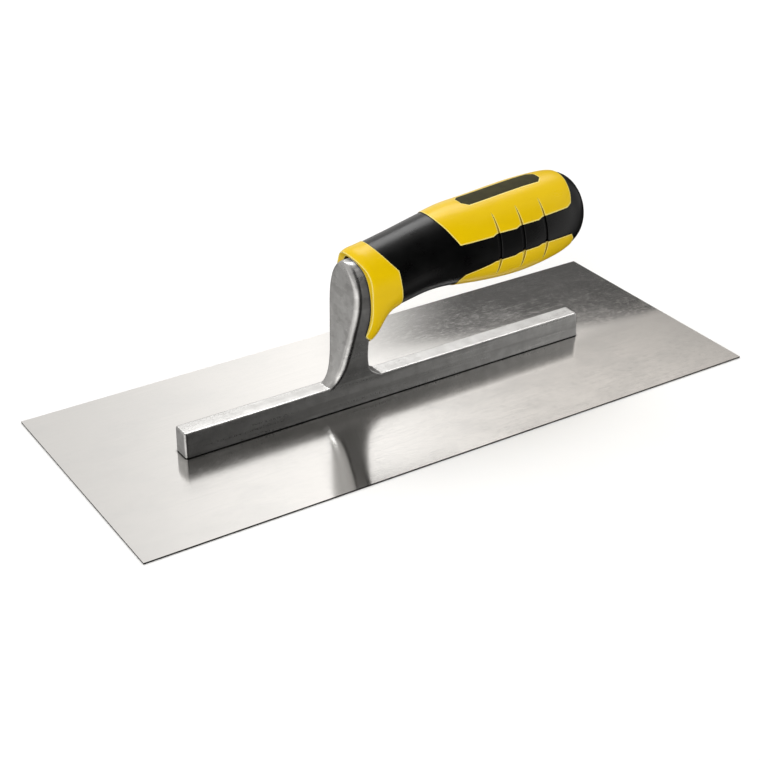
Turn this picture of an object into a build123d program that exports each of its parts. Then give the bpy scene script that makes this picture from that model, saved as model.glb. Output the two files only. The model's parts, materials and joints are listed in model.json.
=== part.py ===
from build123d import *
from functools import lru_cache
import os

# Steel finishing trowel. Millimetres, +Z up. The origin is the centre of the blade's
# working (under) face. +X runs from the toe (shank end) to the heel (open handle end).

# --- blade and its fixing bar ---
BLADE_LENGTH = 320.0
BLADE_WIDTH = 130.0
BLADE_THICKNESS = 0.7
BAR_TOE_X = -111.2
BAR_HEEL_X = 106.6
BAR_WIDTH = 9.8
BAR_TOP_WIDTH = 9.2
BAR_HEIGHT = 12.6
BAR_HEEL_DRAFT = 0.6
BAR_CORNER_RADIUS = 1.2
BAR_SHOULDER_RADIUS = 0.9
BAR_FOOT_RADIUS = 0.5

# --- rivets, flush in the working face and blind in the bar ---
RIVET_X = (14.0, 40.0, 67.0, 95.0)
RIVET_HEAD_DIAMETER = 6.0
RIVET_DIAMETER = 4.0
RIVET_TOP = 9.0

# --- shank and leaf pad: (height over the blade, toe side x, heel side x, half width) ---
SHANK_SECTIONS = [
    (11.6, -40.5, -6.8, 4.5), (12.6, -37.8, -9.5, 4.5), (13.8, -36.3, -11.8, 4.6),
    (15.5, -34.9, -14.2, 5.0), (18.3, -33.4, -16.4, 5.7), (22.0, -32.1, -17.8, 6.7),
    (27.0, -31.1, -18.6, 7.7), (33.0, -30.2, -19.1, 9.0), (40.0, -29.3, -19.3, 10.4),
    (47.0, -28.4, -19.3, 11.8), (54.0, -27.7, -19.3, 12.5), (60.0, -27.3, -19.3, 11.9),
    (64.5, -27.2, -19.3, 10.2), (68.2, -27.2, -19.3, 7.6), (70.6, -27.0, -19.3, 5.0),
    (71.8, -26.6, -19.3, 2.8), (72.1, -26.2, -19.3, 1.7),
]
PAD_WIDEST = 54.0
PAD_RIM_RADIUS = 2.8
PAD_BACK_RADIUS = 0.5
PAD_BACK_X = -19.3

# --- handle: its axis rises towards the heel; sections are (station, half height, centre) ---
AXIS_HEIGHT = 64.2
AXIS_TILT = 3.7
WIDTH_RATIO = 0.94
SECTIONS = [
    (-28.0, 11.0, -3.0), (-25.0, 13.9, -2.9), (-22.5, 15.7, -2.9), (-20.0, 16.7, -2.8),
    (-17.0, 16.9, -2.7), (-14.0, 17.0, -2.5), (-10.0, 17.1, -2.1), (-5.0, 17.2, -1.5),
    (0.0, 17.3, -0.9), (10.0, 17.5, 0.5), (20.0, 18.3, 1.2), (30.0, 19.6, 1.1),
    (40.0, 20.5, 0.3), (50.0, 21.2, -0.3), (60.0, 21.7, -0.6), (70.0, 21.7, -0.5),
    (80.0, 21.1, -0.2), (86.0, 20.4, 0.1), (90.0, 19.6, 0.4), (94.0, 18.2, 0.6),
    (97.0, 16.4, 0.7), (100.0, 13.1, 0.8), (102.0, 9.6, 0.8), (103.2, 6.2, 0.8),
]

# Pull of a section's curve towards the corner of its box: 0.5523 gives an ellipse.
ROUND = 0.5523

# --- finger guard: at each station, its extra depth and the pull of the lower half ---
GUARD = {
    -28.0: (16.4, 0.74), -25.0: (14.1, 0.74), -22.5: (12.6, 0.74), -20.0: (11.5, 0.74),
    -17.0: (8.7, 0.74), -14.0: (4.3, 0.71), -10.0: (1.0, 0.64), -5.0: (0.0, 0.58),
}

# --- collar: its front edge in side view, as (x, height over the blade), top to tip ---
COLLAR_FRONT = [
    (-24.9, 95.0), (-24.3, 75.0), (-21.7, 70.0), (-21.0, 63.0),
    (-20.7, 53.0), (-21.1, 43.0), (-22.3, 37.0), (-24.6, 26.0),
]
PAD_GAP = 0.9

# --- two-colour handle: outlines in side view, along the tilted axis (station, height) ---
GRIP_INSET = 0.3
GRIP_DEPTH = 2.4
COLLAR_EDGE = [
    (-13.2, 30.0), (-13.2, 14.5), (-9.2, 8.6), (-6.5, 5.0),
    (-6.1, -1.5), (-4.6, -12.0), (-4.0, -30.0),
]
PALM_EDGE = [
    (18.8, 30.0), (18.8, 19.2), (21.3, 15.4), (25.6, 8.0),
    (42.8, 7.6), (44.8, 8.4), (55.6, 8.0), (57.6, 8.8), (68.4, 8.5), (70.6, 9.3),
    (86.0, 9.1), (88.6, 10.2), (90.2, 13.3), (92.6, 19.2), (93.4, 30.0),
]
UNDER_EDGE = [
    (27.0, -30.0), (26.4, -14.0), (26.2, -11.0), (28.4, -8.0),
    (41.0, -5.5), (43.4, -4.7), (53.8, -4.6), (56.2, -3.7), (66.8, -3.8), (69.0, -3.1),
    (84.0, -4.2), (87.6, -4.6), (89.8, -7.9), (90.6, -13.0), (90.6, -30.0),
]
FINGER_GROOVES = (46.0, 58.9, 71.8)
GROOVE_WIDTH = 2.0
GROOVE_DEPTH = 1.0
GROOVE_FADE_UP = 17.0
GROOVE_FADE_DOWN = -14.0
FADE_DEPTH = 0.35

# --- badge: blank plate let into the palm panel ---
BADGE_START = 36.2
BADGE_END = 80.6
BADGE_HALF_WIDTH = 5.0
BADGE_CORNER = 2.6
BADGE_THICKNESS = 0.9

# --- tang and the hidden bolt that draws the handle on to it ---
TANG_ROOT = (14.0, 12.0)
TANG_TIP = (11.0, 9.5)
TANG_END = 45.0
BOLT_DIAMETER = 6.0
BOLT_LENGTH = 60.0
BOLT_HEAD_DIAMETER = 10.0
BOLT_HEAD_HEIGHT = 6.0
BOLT_SOCKET = 5.0
WASHER_DIAMETER = 12.4
WASHER_THICKNESS = 1.6
LOCK_WASHER_DIAMETER = 11.4
WASHER_SEAT = 88.0
PLUG_DIAMETER = 12.8
PLUG_START = 98.2
CLEARANCE = 0.1

HANDLE_FRAME = Location((0, 0, BLADE_THICKNESS + AXIS_HEIGHT), (0, -AXIS_TILT, 0))


def axis_cylinder(diameter, start, end):
    """Cylinder on the handle axis between two stations, in the handle's own frame."""
    return Plane(origin=(start, 0, 0), z_dir=(1, 0, 0)) * extrude(Circle(diameter / 2), end - start)


def sweep_across(face):
    """Face drawn in side view, swept through the full width of the tool."""
    return extrude(Plane.XZ.offset(-40) * face, 80)


def side_prism(points):
    """Straight-sided outline drawn in side view, swept through the full width."""
    return sweep_across(make_face(Polyline(*points, close=True)))


def over_blade(shape):
    """Shapes drawn from the blade's upper face, moved to their height in the assembly."""
    return Pos(0, 0, BLADE_THICKNESS) * shape


def blade():
    on_plane = (Align.CENTER, Align.CENTER, Align.MIN)
    plate = Box(BLADE_LENGTH, BLADE_WIDTH, BLADE_THICKNESS, align=on_plane)
    for x in rivet_positions():
        plate -= Pos(x, 0, 0) * rivet_head()
    return plate


def rivet_positions():
    return [-x for x in reversed(RIVET_X)] + list(RIVET_X)


def rivet_head():
    """Countersunk head that fills its seat in the blade."""
    return Cone(
        RIVET_HEAD_DIAMETER / 2,
        RIVET_DIAMETER / 2 + 0.2,
        BLADE_THICKNESS,
        align=(Align.CENTER, Align.CENTER, Align.MIN),
    )


def blade_rivets():
    rivets = []
    for x in rivet_positions():
        stem = Cylinder(RIVET_DIAMETER / 2, RIVET_TOP, align=(Align.CENTER, Align.CENTER, Align.MIN))
        rivets.append(Pos(x, 0, 0) * (rivet_head() + stem))
    return Compound(children=rivets)


def bar():
    length = BAR_HEEL_X - BAR_TOE_X
    middle = (BAR_HEEL_X + BAR_TOE_X) / 2
    foot = RectangleRounded(length, BAR_WIDTH, BAR_CORNER_RADIUS)
    head = RectangleRounded(length - BAR_HEEL_DRAFT, BAR_TOP_WIDTH, BAR_CORNER_RADIUS)
    body = loft([Pos(middle, 0, 0) * foot, Pos(middle - BAR_HEEL_DRAFT / 2, 0, BAR_HEIGHT) * head])
    body = fillet(body.faces().sort_by(Axis.Z)[-1].edges(), BAR_SHOULDER_RADIUS)
    return fillet(body.faces().sort_by(Axis.Z)[0].edges(), BAR_FOOT_RADIUS)


def shank_outline(depth, width):
    """Section of the shank: well rounded towards the toe, nearly square towards the handle."""
    outline = Rectangle(depth, width)
    outline = fillet(outline.vertices().group_by(Axis.X)[-1], PAD_BACK_RADIUS)
    return fillet(outline.vertices().group_by(Axis.X)[0], min(PAD_RIM_RADIUS, 0.45 * width))


def shank(gap=0.0, heel_gap=0.0):
    """Shank flowing from the bar into the leaf pad, grown by the gaps."""
    faces = []
    for height, toe, heel, half in SHANK_SECTIONS:
        lift = gap * max(0.0, height - PAD_WIDEST) / (SHANK_SECTIONS[-1][0] - PAD_WIDEST)
        front, back = toe - gap, heel + heel_gap
        outline = shank_outline(back - front, 2 * (half + gap))
        faces.append(Pos((front + back) / 2, 0, height + lift) * outline)
    return loft(faces)


def tang(grow=0.0):
    root = Rectangle(TANG_ROOT[0] + 2 * grow, TANG_ROOT[1] + 2 * grow)
    tip = Rectangle(TANG_TIP[0] + 2 * grow, TANG_TIP[1] + 2 * grow)
    start = Plane(origin=(PAD_BACK_X - 2, 0, 0), x_dir=(0, 1, 0), z_dir=(1, 0, 0))
    end = Plane(origin=(TANG_END + grow, 0, 0), x_dir=(0, 1, 0), z_dir=(1, 0, 0))
    return loft([start * root, end * tip])


def mounting():
    """One casting: fixing bar, curved shank, leaf pad and the tang inside the handle."""
    casting = over_blade(bar() + shank()) + HANDLE_FRAME * tang()
    screw_hole = axis_cylinder(BOLT_DIAMETER + CLEARANCE, TANG_END - 20.0, TANG_END + 1.0)
    casting -= HANDLE_FRAME * screw_hole
    for x in rivet_positions():
        casting -= Pos(x, 0, 0) * Cylinder(
            RIVET_DIAMETER / 2, RIVET_TOP, align=(Align.CENTER, Align.CENTER, Align.MIN)
        )
    return casting


def quarter(side, across, deep, roundness):
    """Quarter of a section, from its side point to its top (deep > 0) or bottom (deep < 0)."""
    return Bezier(
        (side * across, 0),
        (side * across, roundness * deep),
        (side * roundness * across, deep),
        (0, deep),
    )


def section(station, half_height, centre, inset):
    """Egg-shaped section: round above, drawn down below where the guard is."""
    depth, fullness = GUARD.get(station, (0.0, ROUND))
    across = WIDTH_RATIO * half_height - inset
    above = half_height - inset
    below = half_height + depth - inset
    outline = [quarter(side, across, above, ROUND) for side in (1, -1)]
    outline += [quarter(side, across, -below, fullness) for side in (1, -1)]
    end_shift = inset * max(0.0, station - 86.0) / 17.2
    plane = Plane(origin=(station - end_shift, 0, centre), x_dir=(0, 1, 0), z_dir=(1, 0, 0))
    return plane * make_face(outline)


@lru_cache
def handle_form(inset):
    """Outer form of the handle in its own frame, drawn in by the inset."""
    return loft([section(s, half, centre, inset) for s, half, centre in SECTIONS])


def black_region():
    """Where the soft grip shows: ring, side strips and end cap."""
    ring = side_prism(COLLAR_EDGE + [(120.0, -30.0), (120.0, 30.0)])
    return ring - side_prism(PALM_EDGE) - side_prism(UNDER_EDGE)


def finger_grooves(outline, form):
    """Slots across both sides, one outline repeated at each groove, cut down to a form."""
    slots = side_prism([(FINGER_GROOVES[0] + x, h) for x, h in outline])
    for station in FINGER_GROOVES[1:]:
        slots += side_prism([(station + x, h) for x, h in outline])
    return slots - form


def badge_blank(grow=0.0):
    start, end = BADGE_START - grow, BADGE_END + grow
    half, cut = BADGE_HALF_WIDTH + grow, BADGE_CORNER
    outline = Polyline(
        (start, half - cut), (start + cut, half), (end - cut, half), (end, half - cut),
        (end, cut - half), (end - cut, -half), (start + cut, -half), (start, cut - half),
        close=True,
    )
    return extrude(make_face(outline), 40)


def soft_grip():
    """Black overmould in one piece, sunk into the hard core."""
    shell = handle_form(GRIP_INSET) - handle_form(GRIP_DEPTH)
    grip = shell & black_region()
    half = GROOVE_WIDTH / 2
    slot = [(-half, -6.5), (half, -6.5), (half, 10.0), (-half, 10.0)]
    grip -= finger_grooves(slot, handle_form(GRIP_INSET + GROOVE_DEPTH))
    grip -= axis_cylinder(PLUG_DIAMETER + 2 * CLEARANCE, WASHER_SEAT, 120)
    return HANDLE_FRAME * grip


def handle_core():
    """Hard yellow handle: collar with finger guard, palm panel and under panel."""
    skin = handle_form(0) - handle_form(GRIP_DEPTH)
    core = handle_form(0) - (skin & black_region())
    half = GROOVE_WIDTH / 2
    fade = [(0, GROOVE_FADE_DOWN), (half, 0.0), (0, GROOVE_FADE_UP), (-half, 0.0)]
    core -= finger_grooves(fade, handle_form(FADE_DEPTH))
    core -= badge_blank(CLEARANCE) - handle_form(BADGE_THICKNESS)
    core -= tang(CLEARANCE)
    core -= axis_cylinder(BOLT_DIAMETER + 0.6, TANG_END - 5, WASHER_SEAT + 1)
    core -= axis_cylinder(PLUG_DIAMETER + 2 * CLEARANCE, WASHER_SEAT, 120)
    core = HANDLE_FRAME * core
    top, tip = COLLAR_FRONT[0], COLLAR_FRONT[-1]
    front = Spline(*COLLAR_FRONT)
    ahead = Polyline(tip, (-60.0, tip[1]), (-60.0, top[1]), top)
    core -= over_blade(sweep_across(make_face(front + ahead)))
    return core - over_blade(shank(PAD_GAP, CLEARANCE))


def badge_plate():
    plate = badge_blank() & (handle_form(0) - handle_form(BADGE_THICKNESS - CLEARANCE))
    return HANDLE_FRAME * plate


def handle_bolt():
    seat = WASHER_SEAT + 2 * WASHER_THICKNESS
    head = axis_cylinder(BOLT_HEAD_DIAMETER, seat, seat + BOLT_HEAD_HEIGHT)
    head -= Plane(origin=(seat + 2.5, 0, 0), z_dir=(1, 0, 0)) * extrude(
        RegularPolygon(BOLT_SOCKET / 2, 6, major_radius=False), BOLT_HEAD_HEIGHT
    )
    return HANDLE_FRAME * (head + axis_cylinder(BOLT_DIAMETER, seat - BOLT_LENGTH, seat))


def flat_washer():
    ring = axis_cylinder(WASHER_DIAMETER, WASHER_SEAT, WASHER_SEAT + WASHER_THICKNESS)
    return HANDLE_FRAME * (ring - axis_cylinder(BOLT_DIAMETER + 0.4, WASHER_SEAT - 1, WASHER_SEAT + 3))


def lock_washer():
    start = WASHER_SEAT + WASHER_THICKNESS
    ring = axis_cylinder(LOCK_WASHER_DIAMETER, start, start + WASHER_THICKNESS)
    ring -= axis_cylinder(BOLT_DIAMETER + 0.2, start - 1, start + 3)
    split = Pos(start + WASHER_THICKNESS / 2, 0, 5) * Rot(0, 0, 25) * Box(6, 0.8, 8)
    return HANDLE_FRAME * (ring - split)


def end_plug():
    form = handle_form(GRIP_INSET)
    return HANDLE_FRAME * (form & axis_cylinder(PLUG_DIAMETER, PLUG_START, 120))


PARTS = {
    "blade": blade,
    "blade_rivets": blade_rivets,
    "mounting": mounting,
    "handle_core": handle_core,
    "soft_grip": soft_grip,
    "badge_plate": badge_plate,
    "handle_bolt": handle_bolt,
    "flat_washer": flat_washer,
    "lock_washer": lock_washer,
    "end_plug": end_plug,
}

os.makedirs("parts", exist_ok=True)
for name, make in PARTS.items():
    shape = make()
    shape.label = name
    export_step(shape, f"parts/{name}.step")
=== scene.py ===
import json
import math

import bpy
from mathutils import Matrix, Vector

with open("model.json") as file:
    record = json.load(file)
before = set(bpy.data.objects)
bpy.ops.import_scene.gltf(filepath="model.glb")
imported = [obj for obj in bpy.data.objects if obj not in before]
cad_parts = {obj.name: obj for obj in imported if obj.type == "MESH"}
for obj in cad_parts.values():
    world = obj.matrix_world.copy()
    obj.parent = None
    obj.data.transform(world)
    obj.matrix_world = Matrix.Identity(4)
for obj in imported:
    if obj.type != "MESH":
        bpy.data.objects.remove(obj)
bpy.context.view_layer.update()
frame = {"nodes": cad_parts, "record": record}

MM = 0.001

# --- camera ---
LENS = 76.25
CAMERA_AT = (-0.3607, -0.5547, 0.3765)
CAMERA_AZIMUTH = -32.49
CAMERA_ELEVATION = 29.32
SENSOR_WIDTH = 36.0
NEAR_CLIP = 0.01

# --- key light: a soft box above and behind the tool; it spares the blade ---
KEY_AT = (0.46, 0.87, 1.45)
KEY_SIZE = (1.3, 0.9)
KEY_POWER = 17.0
# --- fill light: lifts the near sides without showing in the metal ---
FILL_AT = (-0.9, -1.0, 0.7)
FILL_SIZE = (1.0, 1.0)
FILL_POWER = 11.0

# --- surroundings: brightness round the horizon, as (azimuth from +X in degrees, level) ---
HORIZON = [
    (-180, 1.5), (-163, 1.9), (-134, 1.9), (-118, 0.30), (-106, 0.01), (-66, 0.01),
    (-59, 0.03), (-50, 0.64), (-42, 1.25), (-20, 0.55), (20, 0.50), (40, 0.64), (47, 0.92),
    (58, 1.13), (72, 0.75), (100, 0.70), (120, 0.53), (145, 0.85), (160, 1.3), (179, 1.5),
]
HORIZON_MAX = 1.9
# Dimming below the horizon, as (elevation, share of the level).
BELOW = [(-50.0, 0.10), (-30.0, 0.75), (5.0, 1.0)]
# --- cards: (azimuth from, full from, full to, to), (elevation the same way), level ---
CARDS = [
    ((-118.0, -105.0, -49.0, -38.0), (16.0, 26.0, 72.0, 86.0), 0.05),
    ((-30.0, 5.0, 92.0, 108.0), (-91.0, -90.0, -14.0, -4.0), 0.04),
    ((-200.0, -190.0, -128.0, -112.0), (0.0, 10.0, 50.0, 70.0), 0.60),
    ((140.0, 158.0, 190.0, 200.0), (0.0, 10.0, 50.0, 70.0), 0.60),
]
# The horizon's levels blend into one even level overhead between these elevations.
ZENITH_BLEND = (40.0, 75.0)
ZENITH_LEVEL = 0.50
# The light is a little warmer over this stretch of azimuth.
WARM_AZIMUTH = (20.0, 40.0, 46.0, 58.0)
WARM_TINT = (1.0, 0.95, 0.90)
PLAIN_TINT = (1.0, 0.985, 0.965)
# A dark flag stands behind the tool to the right. Its top slopes up with azimuth.
FLAG_START = (5.0, 25.0)
FLAG_EDGE = (54.0, 60.5)
FLAG_PIVOT = 50.0
FLAG_TOP = 27.3
FLAG_SLOPE = 0.14
FLAG_SOFT = 0.28
FLAG_LEVEL = 0.10

# --- floor ---
FLOOR_HALF = 4.0
FLOOR_DROP = 0.0001

# The blade mirrors the studio and the casting. These nodes are kept out of all shine.
OUT_OF_SHINE = ("blade", "handle_core", "soft_grip", "badge_plate", "end_plug")


class Graph:
    """Short way to write a node tree: each call makes one node and returns its output."""

    def __init__(self, tree):
        self.tree = tree
        self.tree.nodes.clear()

    def node(self, kind, links=None, **settings):
        made = self.tree.nodes.new(kind)
        for name, value in settings.items():
            setattr(made, name, value)
        for socket, value in (links or {}).items():
            self.put(made.inputs[socket], value)
        return made

    def put(self, socket, value):
        if isinstance(value, bpy.types.NodeSocket):
            self.tree.links.new(value, socket)
        elif isinstance(value, (tuple, list)) and len(value) == 3 and socket.type == "RGBA":
            socket.default_value = (*value, 1.0)
        else:
            socket.default_value = value

    def math(self, operation, a, b=0.0, c=0.0):
        return self.node("ShaderNodeMath", {0: a, 1: b, 2: c}, operation=operation).outputs[0]

    def vector(self, operation, a, b):
        made = self.node("ShaderNodeVectorMath", {0: a, 1: b}, operation=operation)
        return made.outputs["Value" if operation == "DOT_PRODUCT" else "Vector"]

    def fit(self, value, low, high, to_low=0.0, to_high=1.0, smooth=True):
        ends = {"From Min": low, "From Max": high, "To Min": to_low, "To Max": to_high}
        made = self.node("ShaderNodeMapRange", {"Value": value, **ends})
        made.interpolation_type = "SMOOTHSTEP" if smooth else "LINEAR"
        return made.outputs["Result"]

    def place(self):
        """Position on the piece, in metres, in the tool's frame."""
        return self.node("ShaderNodeTexCoord").outputs["Object"]

    def stretch(self, place, scale):
        return self.vector("MULTIPLY", place, scale)

    def split(self, vector):
        made = self.node("ShaderNodeSeparateXYZ", {0: vector})
        return made.outputs["X"], made.outputs["Y"], made.outputs["Z"]

    def noise(self, place, scale, detail=2.0, rough=0.5):
        made = self.node(
            "ShaderNodeTexNoise",
            {"Vector": place, "Scale": scale, "Detail": detail, "Roughness": rough},
        )
        return made.outputs["Fac"]

    def cells(self, place, scale):
        made = self.node("ShaderNodeTexVoronoi", {"Vector": place, "Scale": scale})
        return made.outputs["Distance"]

    def mix(self, factor, a, b):
        made = self.node("ShaderNodeMix", data_type="RGBA")
        self.put(made.inputs["Factor"], factor)
        self.put(made.inputs[6], a)
        self.put(made.inputs[7], b)
        return made.outputs[2]

    def bump(self, height, distance, strength=1.0, normal=None):
        links = {"Height": height, "Distance": distance, "Strength": strength}
        if normal is not None:
            links["Normal"] = normal
        return self.node("ShaderNodeBump", links).outputs["Normal"]

    def round_edges(self, radius):
        return self.node("ShaderNodeBevel", {"Radius": radius}, samples=6).outputs["Normal"]

    def open_to_air(self, reach):
        """1 on open surfaces, falling towards 0 inside a gap or a groove."""
        made = self.node("ShaderNodeAmbientOcclusion", {"Distance": reach}, samples=8)
        return made.outputs["AO"]

    def edge_mask(self, rounded, low, high, reach=0.6 * MM):
        """1 along outer edges, where the rounded normal leaves the face's own."""
        face = self.node("ShaderNodeNewGeometry").outputs["Normal"]
        turn = self.math("SUBTRACT", 1.0, self.vector("DOT_PRODUCT", rounded, face))
        outer = self.fit(self.open_to_air(reach), 0.72, 0.92)
        return self.math("MULTIPLY", self.fit(turn, low, high), outer)


def new_material(name, build, **constants):
    """Principled material: build returns what the nodes drive, constants stay on the shader."""
    material = bpy.data.materials.new(name)
    material.use_nodes = True
    graph = Graph(material.node_tree)
    shader = graph.node("ShaderNodeBsdfPrincipled")
    for socket, value in {**constants, **build(graph)}.items():
        graph.put(shader.inputs[socket], value)
    graph.node("ShaderNodeOutputMaterial", {"Surface": shader.outputs[0]})
    return material


def blade_steel(g):
    """Polished strip: lengthwise brush lines, faint cloudy wear, rougher shear-cut side faces with
    painted shade making a dark outline, and a painted contact shadow where the bar sits.

    The near half is brushed more, so its reflections run softer across the lines."""
    polished, clouded, lined = (0.90, 0.885, 0.865), (0.86, 0.85, 0.835), (0.87, 0.86, 0.84)
    # Painted shade: the first tone darkens the side faces into a dark outline, the second is a
    # contact shadow where the bar sits on the blade.
    painted_edge_shade, shaded = (0.13, 0.125, 0.12), (0.03, 0.03, 0.03)
    micro = 0.0000008
    place = g.place()
    lines = g.noise(g.stretch(place, (14.0, 2400.0, 1.0)), 1.0, 3.0, 0.6)
    clouds = g.noise(g.stretch(place, (1.0, 1.6, 1.0)), 26.0, 5.0, 0.62)
    specks = g.noise(g.stretch(place, (0.6, 1.0, 1.0)), 620.0, 3.0, 0.6)
    # Painted contact shadow: darker where the blade is closed in by the bar's foot.
    painted_crease_shade = g.fit(g.open_to_air(2.5 * MM), 0.80, 0.50)
    near = g.fit(g.split(place)[1], 0.0, -0.012)
    face = g.node("ShaderNodeNewGeometry").outputs["Normal"]
    # Side faces: rougher shear-cut steel, coloured with painted shade.
    side = g.fit(g.math("ABSOLUTE", g.split(face)[2]), 0.9, 0.6)
    worn = g.fit(clouds, 0.42, 0.68)
    grey = g.mix(worn, polished, clouded)
    streaked = g.mix(g.fit(lines, 0.35, 0.75), grey, lined)
    haze = g.math("MULTIPLY_ADD", worn, 0.02, 0.045)
    haze = g.math("MULTIPLY_ADD", g.fit(lines, 0.45, 0.8), 0.04, haze)
    haze = g.math("MULTIPLY_ADD", g.fit(specks, 0.45, 0.75), 0.035, haze)
    haze = g.math("MULTIPLY_ADD", near, 0.065, haze)
    normal = g.bump(lines, micro, 0.5, g.bump(specks, micro, 0.5))
    # Painted shade: the steel turns near black next to the bar's foot.
    streaked = g.mix(g.math("MULTIPLY", painted_crease_shade, 0.85), streaked, shaded)
    return {
        "Base Color": g.mix(side, streaked, painted_edge_shade),
        "Roughness": g.math("MULTIPLY_ADD", side, 0.35, haze),
        "Normal": normal,
        "Anisotropic": near,
        "Tangent": g.node("ShaderNodeTangent", direction_type="RADIAL", axis="X").outputs[0],
    }


def rivet_steel(g):
    """Rivet heads ground with the blade, so they carry fine curved scratches."""
    clean, dull = (0.66, 0.65, 0.63), (0.48, 0.47, 0.45)
    place = g.place()
    scratches = {"Vector": place, "Scale": 900.0, "Distortion": 6.0, "Detail": 3.0}
    lines = g.node("ShaderNodeTexWave", scratches).outputs["Fac"]
    spots = g.noise(place, 700.0, 3.0)
    return {
        "Base Color": g.mix(g.fit(spots, 0.35, 0.7), clean, dull),
        "Roughness": g.math("MULTIPLY_ADD", lines, 0.16, 0.24),
        "Normal": g.bump(lines, 0.000008, 0.5),
    }


def cast_aluminium(g):
    """Tumbled casting: satin grain, long file marks on the bar, brighter worn edges and painted shade
    in the creases.
    """
    light, mid = (0.60, 0.595, 0.585), (0.50, 0.495, 0.485)
    filed, dark = (0.72, 0.715, 0.70), (0.34, 0.335, 0.325)
    # The middle tone is painted shade for the creases.
    pitted, shaded, bright = (0.25, 0.25, 0.25), (0.02, 0.02, 0.02), (0.86, 0.86, 0.855)
    place = g.place()
    grain = g.noise(place, 1500.0, 3.0, 0.6)
    lumps = g.noise(place, 170.0, 3.0, 0.55)
    marks = g.noise(g.stretch(place, (22.0, 260.0, 520.0)), 1.0, 4.0, 0.6)
    bands = g.noise(g.stretch(place, (9.0, 120.0, 210.0)), 1.0, 2.0, 0.5)
    pits = g.fit(g.cells(place, 420.0), 0.16, 0.05)
    pits = g.math("MULTIPLY", pits, g.fit(lumps, 0.55, 0.7))
    rounded = g.round_edges(0.7 * MM)
    worn = g.edge_mask(rounded, 0.01, 0.12)
    worn = g.math("MULTIPLY", worn, g.fit(g.noise(place, 260.0, 3.0), 0.3, 0.55))
    shade = g.mix(g.fit(lumps, 0.3, 0.7), light, mid)
    shade = g.mix(g.math("MULTIPLY", g.fit(marks, 0.50, 0.75), 0.5), shade, filed)
    shade = g.mix(g.math("MULTIPLY", g.fit(bands, 0.5, 0.35), 0.45), shade, dark)
    shade = g.mix(g.math("MULTIPLY", pits, 0.7), shade, pitted)
    # Painted shade: the casting turns near black in the creases where it meets the blade and where
    # bar and shank join.
    painted_crease_shade = g.fit(g.open_to_air(2.5 * MM), 0.62, 0.40)
    shade = g.mix(g.math("MULTIPLY", painted_crease_shade, 0.9), shade, shaded)
    rough = g.math("MULTIPLY_ADD", g.fit(grain, 0.3, 0.7), 0.10, 0.29)
    rough = g.math("MULTIPLY_ADD", g.fit(marks, 0.45, 0.75), -0.07, rough)
    rough = g.math("MULTIPLY_ADD", worn, -0.12, rough)
    relief = g.math("MULTIPLY_ADD", grain, 0.25, g.math("MULTIPLY", lumps, 1.6))
    relief = g.math("MULTIPLY_ADD", marks, 1.2, relief)
    relief = g.math("MULTIPLY_ADD", bands, 3.0, relief)
    relief = g.math("MULTIPLY_ADD", pits, -0.8, relief)
    return {
        "Base Color": g.mix(g.math("MULTIPLY", worn, 0.8), shade, bright),
        "Roughness": rough,
        "Normal": g.bump(relief, 0.06 * MM, 0.5, rounded),
    }


def yellow_plastic(g):
    """Smooth moulded plastic: faint orange peel, painted highlight along the edges, painted shade in
    grooves and gaps.
    """
    full, deep = (0.82, 0.55, 0.0004), (0.78, 0.515, 0.0)
    # The second tone is a painted highlight for the edges.
    scuffed, painted_edge_highlight = (0.86, 0.64, 0.06), (0.97, 0.88, 0.32)
    # Painted shade: the first tone darkens the grooves, the second the deep gaps.
    painted_groove_shade, dark = (0.24, 0.13, 0.002), (0.05, 0.025, 0.002)
    place = g.place()
    peel = g.noise(place, 900.0, 2.0)
    flow = g.noise(g.stretch(place, (0.5, 1.0, 1.0)), 60.0, 4.0, 0.6)
    scuffs = g.noise(g.stretch(place, (120.0, 900.0, 900.0)), 1.0, 3.0)
    rounded = g.round_edges(0.6 * MM)
    # Painted highlight: pale lines along the edges of the yellow panels.
    edge = g.math("MULTIPLY", g.edge_mask(g.round_edges(1.0 * MM), 0.006, 0.04), 0.8)
    # Painted shade: dark brown deep in gaps, such as round the shank's pad.
    gap = g.fit(g.open_to_air(3.0 * MM), 0.45, 0.12)
    # Painted shade: brownish and less shiny in the grooves.
    groove = g.math("MULTIPLY", g.fit(g.open_to_air(1.2 * MM), 0.97, 0.82), 0.85)
    tone = g.mix(g.fit(flow, 0.3, 0.7), full, deep)
    tone = g.mix(g.math("MULTIPLY", g.fit(scuffs, 0.62, 0.8), 0.15), tone, scuffed)
    tone = g.mix(edge, tone, painted_edge_highlight)
    tone = g.mix(groove, tone, painted_groove_shade)
    rough = g.math("MULTIPLY_ADD", g.fit(flow, 0.3, 0.7), 0.06, 0.27)
    rough = g.math("MULTIPLY_ADD", g.fit(scuffs, 0.6, 0.8), 0.12, rough)
    return {
        "Base Color": g.mix(gap, tone, dark),
        "Roughness": rough,
        "Specular IOR Level": g.fit(groove, 0.0, 1.0, 0.28, 0.02, smooth=False),
        "Normal": g.bump(peel, 0.01 * MM, 0.5, rounded),
    }


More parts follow.
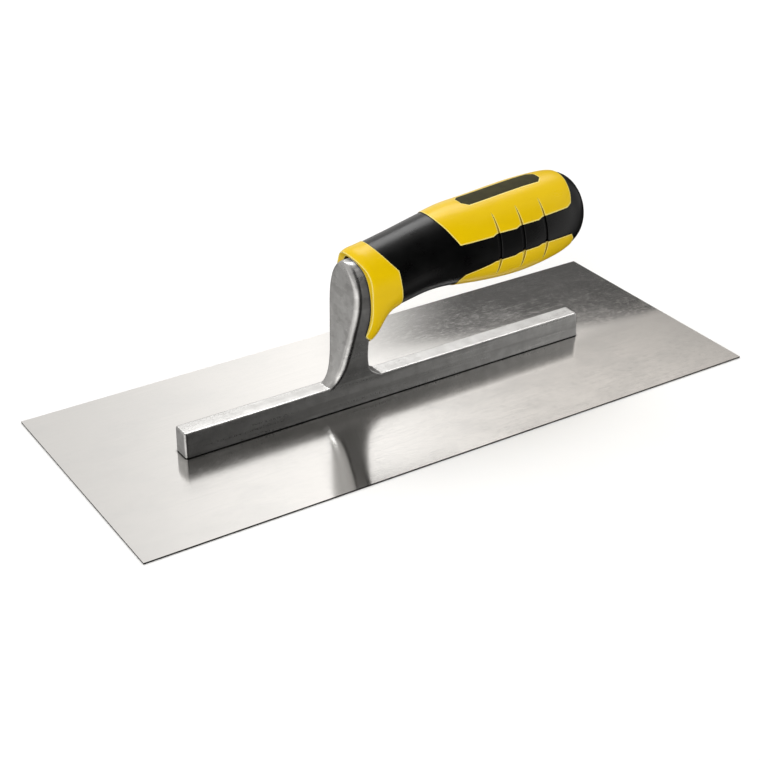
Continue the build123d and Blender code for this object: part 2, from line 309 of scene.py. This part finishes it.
def black_rubber(g):
    """Soft elastomer: very fine spark-eroded texture, dusty in places, rubbed on the edges."""
    black, dusty, rubbed = (0.0006, 0.0006, 0.0007), (0.0018, 0.0018, 0.0019), (0.03, 0.03, 0.032)
    place = g.place()
    pebble = g.cells(place, 2600.0)
    dust = g.noise(place, 120.0, 4.0, 0.6)
    rounded = g.round_edges(0.35 * MM)
    edge = g.math("MULTIPLY", g.edge_mask(rounded, 0.02, 0.15), 0.25)
    groove = g.fit(g.open_to_air(1.2 * MM), 0.92, 0.70)
    tone = g.mix(g.fit(dust, 0.35, 0.7), black, dusty)
    rough = g.math("MULTIPLY_ADD", g.fit(dust, 0.3, 0.7), 0.05, 0.265)
    return {
        "Base Color": g.mix(edge, tone, rubbed),
        "Roughness": g.math("MULTIPLY_ADD", groove, 0.45, rough),
        "Specular IOR Level": g.fit(groove, 0.0, 1.0, 0.34, 0.0, smooth=False),
        "Normal": g.bump(pebble, 0.012 * MM, 0.45, rounded),
    }


def badge_plastic(g):
    """Blank nameplate: dark olive film with a fine cross grain."""
    olive, paler = (0.024, 0.021, 0.003), (0.034, 0.030, 0.005)
    grained, chipped = (0.052, 0.047, 0.012), (0.14, 0.13, 0.05)
    place = g.place()
    grain = g.noise(g.stretch(place, (500.0, 2600.0, 500.0)), 1.0, 3.0)
    patch = g.noise(place, 240.0, 3.0)
    rounded = g.round_edges(0.3 * MM)
    edge = g.edge_mask(rounded, 0.02, 0.15)
    tone = g.mix(g.fit(patch, 0.35, 0.65), olive, paler)
    tone = g.mix(g.math("MULTIPLY", g.fit(grain, 0.4, 0.7), 0.4), tone, grained)
    return {
        "Base Color": g.mix(g.math("MULTIPLY", edge, 0.6), tone, chipped),
        "Roughness": g.math("MULTIPLY_ADD", grain, 0.16, 0.50),
        "Normal": g.bump(grain, 0.01 * MM, 0.5, rounded),
    }


def zinc_steel(g):
    """Bright zinc plate with a faint spangle."""
    clean, stained = (0.70, 0.71, 0.72), (0.60, 0.60, 0.58)
    place = g.place()
    spangle = g.cells(place, 900.0)
    stain = g.noise(place, 260.0, 3.0)
    return {
        "Base Color": g.mix(g.fit(stain, 0.35, 0.65), clean, stained),
        "Roughness": g.math("MULTIPLY_ADD", spangle, 0.14, 0.20),
        "Normal": g.bump(spangle, 0.01 * MM, 0.4, g.round_edges(0.2 * MM)),
    }


def black_plug(g):
    """Moulded stopper, a little shinier than the grip, with a fine grain."""
    black, dusty = (0.012, 0.012, 0.013), (0.020, 0.020, 0.021)
    place = g.place()
    grain = g.noise(place, 1800.0, 2.0)
    dust = g.noise(place, 200.0, 3.0)
    return {
        "Base Color": g.mix(g.fit(dust, 0.35, 0.7), black, dusty),
        "Roughness": g.math("MULTIPLY_ADD", grain, 0.12, 0.30),
        "Normal": g.bump(grain, 0.01 * MM, 0.4, g.round_edges(0.3 * MM)),
    }


def floor_paint(g):
    """Pale backdrop paper with a barely visible tooth."""
    low, high = (0.96, 0.96, 0.955), (0.98, 0.98, 0.975)
    tooth = g.noise(g.place(), 60.0, 4.0)
    return {"Base Color": g.mix(tooth, low, high)}


def dress_nodes():
    metal = {"Metallic": 1.0}
    looks = {
        "blade_steel": (blade_steel, metal),
        "rivet_steel": (rivet_steel, metal),
        "cast_aluminium": (cast_aluminium, metal),
        "yellow_plastic": (yellow_plastic, {"IOR": 1.46}),
        "black_rubber": (black_rubber, {"IOR": 1.50}),
        "badge_plastic": (badge_plastic, {"IOR": 1.46, "Specular IOR Level": 0.12}),
        "zinc_steel": (zinc_steel, metal),
        "black_plug": (black_plug, {"IOR": 1.50}),
    }
    looks = {name: new_material(name, build, **rest) for name, (build, rest) in looks.items()}
    for part in frame["record"]["subparts"]:
        for holder in frame["nodes"][part["node"]].material_slots:
            holder.material = looks[part["material_slot"]]
    for name in OUT_OF_SHINE:
        frame["nodes"][name].visible_glossy = False


def surroundings():
    """Studio round the tool: tone by direction, with the dark flag behind it."""
    world = bpy.data.worlds.new("studio")
    bpy.context.scene.world = world
    world.use_nodes = True
    g = Graph(world.node_tree)
    x, y, z = g.split(world_direction(g))
    azimuth = g.math("DEGREES", g.math("ARCTAN2", y, x))
    elevation = g.math("DEGREES", g.math("ARCSINE", z))
    ramp = g.node("ShaderNodeValToRGB", {"Fac": g.fit(azimuth, -180.0, 180.0, smooth=False)})
    fill_ramp(ramp.color_ramp)
    level = g.math("MULTIPLY", ramp.outputs["Color"], HORIZON_MAX)
    for (low, dim), (high, bright) in zip(BELOW, BELOW[1:]):
        level = g.math("MULTIPLY", level, g.fit(elevation, low, high, dim / bright, 1.0))
    level = cover(g, level, g.fit(elevation, *ZENITH_BLEND), ZENITH_LEVEL)
    for across, upward, tone in CARDS:
        card = g.math("MULTIPLY", window(g, azimuth, across), window(g, elevation, upward))
        level = cover(g, level, card, tone)
    past_pivot = g.math("SUBTRACT", azimuth, FLAG_PIVOT)
    over_flag = g.math("MULTIPLY_ADD", past_pivot, -FLAG_SLOPE, elevation)
    flag = g.math(
        "MULTIPLY",
        g.fit(over_flag, FLAG_TOP + FLAG_SOFT, FLAG_TOP - FLAG_SOFT),
        g.fit(azimuth, FLAG_EDGE[1], FLAG_EDGE[0]),
    )
    flag = g.math("MULTIPLY", flag, g.fit(azimuth, *FLAG_START))
    level = g.math("MULTIPLY", level, g.fit(flag, 0.0, 1.0, 1.0, FLAG_LEVEL, smooth=False))
    warm = g.math("MULTIPLY", window(g, azimuth, WARM_AZIMUTH), g.math("SUBTRACT", 1.0, flag))
    tint = g.mix(warm, PLAIN_TINT, WARM_TINT)
    light = g.node("ShaderNodeBackground", {"Color": tint, "Strength": level})
    g.node("ShaderNodeOutputWorld", {"Surface": light.outputs[0]})


def cover(g, level, mask, tone):
    """The level where the mask is 0, the tone where it is 1."""
    kept = g.math("MULTIPLY", level, g.math("SUBTRACT", 1.0, mask))
    return g.math("MULTIPLY_ADD", mask, tone, kept)


def window(g, value, stops):
    """1 between the two middle stops, falling to 0 at the outer ones."""
    return g.math("MULTIPLY", g.fit(value, stops[0], stops[1]), g.fit(value, stops[3], stops[2]))


def world_direction(g):
    return g.node("ShaderNodeTexCoord").outputs["Generated"]


def fill_ramp(ramp):
    ramp.interpolation = "EASE"
    while len(ramp.elements) > 1:
        ramp.elements.remove(ramp.elements[-1])
    ramp.elements[0].position = 0.0
    for number, (azimuth, level) in enumerate(HORIZON):
        place = (azimuth + 180.0) / 360.0
        element = ramp.elements[0] if number == 0 else ramp.elements.new(place)
        tone = level / HORIZON_MAX
        element.color = (tone, tone, tone, 1.0)


def soft_box(name, at, size, power, aim=(0.0, 0.0, 0.03)):
    data = bpy.data.lights.new(name, "AREA")
    data.shape = "RECTANGLE"
    data.size, data.size_y = size
    data.energy = power
    lamp = bpy.data.objects.new(name, data)
    bpy.context.collection.objects.link(lamp)
    lamp.location = at
    lamp.rotation_euler = (Vector(at) - Vector(aim)).to_track_quat("Z", "Y").to_euler()
    return lamp


def studio():
    """Key light on everything but the blade, and a fill that shows in no reflection."""
    key = soft_box("key", KEY_AT, KEY_SIZE, KEY_POWER)
    spared = bpy.data.collections.new("not_lit_by_key")
    spared.objects.link(frame["nodes"]["blade"])
    spared.collection_objects[0].light_linking.link_state = "EXCLUDE"
    key.light_linking.receiver_collection = spared
    fill = soft_box("fill", FILL_AT, FILL_SIZE, FILL_POWER)
    fill.visible_glossy = False


def floor():
    """Large pale sheet under the tool. The metal reflects the studio, not this sheet."""
    mesh = bpy.data.meshes.new("floor")
    corners = [
        (x * FLOOR_HALF, y * FLOOR_HALF, -FLOOR_DROP) for x, y in ((-1, -1), (1, -1), (1, 1), (-1, 1))
    ]
    mesh.from_pydata(corners, [], [(0, 1, 2, 3)])
    sheet = bpy.data.objects.new("floor", mesh)
    bpy.context.collection.objects.link(sheet)
    sheet.data.materials.append(
        new_material("floor_paint", floor_paint, **{"Roughness": 0.9, "Specular IOR Level": 0.0})
    )
    sheet.visible_glossy = False


def camera():
    data = bpy.data.cameras.new("camera")
    data.lens = LENS
    data.sensor_width = SENSOR_WIDTH
    data.clip_start = NEAR_CLIP
    eye = bpy.data.objects.new("camera", data)
    bpy.context.collection.objects.link(eye)
    turn, lift = math.radians(CAMERA_AZIMUTH), math.radians(CAMERA_ELEVATION)
    back = Vector(
        (math.sin(turn) * math.cos(lift), -math.cos(turn) * math.cos(lift), math.sin(lift))
    )
    eye.location = CAMERA_AT
    eye.rotation_euler = back.to_track_quat("Z", "Y").to_euler()
    bpy.context.scene.camera = eye


camera()
surroundings()
studio()
floor()
dress_nodes()
bpy.context.scene.view_settings.view_transform = "Standard"
